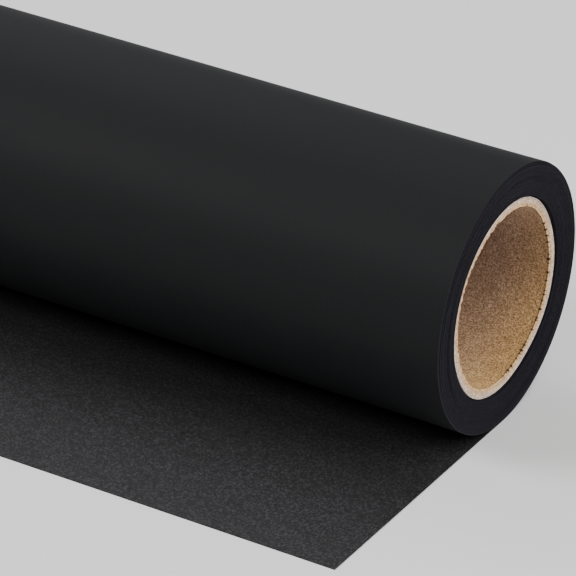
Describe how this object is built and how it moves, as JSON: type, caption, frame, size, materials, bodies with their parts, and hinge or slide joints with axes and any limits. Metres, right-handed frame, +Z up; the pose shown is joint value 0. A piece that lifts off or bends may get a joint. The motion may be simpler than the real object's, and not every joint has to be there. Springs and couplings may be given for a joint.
{
  "type": "backdrop paper roll",
  "caption": "Roll of matte black seamless backdrop paper wound on a paperboard core, lying on a flat surface with its free end rolled out in front.",
  "frame": {"origin": "on the surface that the roll lies on, below the middle of the whole object's box", "axes": "+X along the roll's axis towards the open end seen in the picture, -Y towards the free edge of the laid sheet, +Z up"},
  "size_m": [1.35, 0.142, 0.0849],
  "materials": {
    "black_paper": "matte, uncoated, fine fibre grain",
    "kraft_board": "matte brown recycled board, mottled",
    "pale_board": "matte pale board, rough where it is cut",
    "masking_tape": "creped paper tape, satin"
  },
  "bodies": {
    "laid_web": {"laid_sheet": "black_paper"},
    "web_wrap": {"outer_turn": "black_paper"},
    "roll": {"core_liner": "kraft_board", "core_ply_2": "kraft_board", "core_ply_3": "pale_board", "core_ply_4": "pale_board", "core_ply_5": "pale_board", "core_outer_ply": "pale_board", "start_tape_1": "masking_tape", "start_tape_2": "masking_tape", "start_tape_3": "masking_tape", "wound_turns": "black_paper"}
  },
  "joints": [
    {"name": "unroll_travel", "type": "slide", "parent": "laid_web", "child": "web_wrap", "axis": [0, 1, 0], "range_m": [-0.06, 0.267], "deforming": ["laid_sheet"]},
    {"name": "roll_spin", "type": "hinge", "parent": "web_wrap", "child": "roll", "pos_m": [0, 0.02853, 0.0425], "axis": [-1, 0, 0], "range_deg": [-81, 360]}
  ],
  "couplings": [
    {"joint": "roll_spin", "follows": "unroll_travel", "rad_per_m": 23.531}
  ]
}
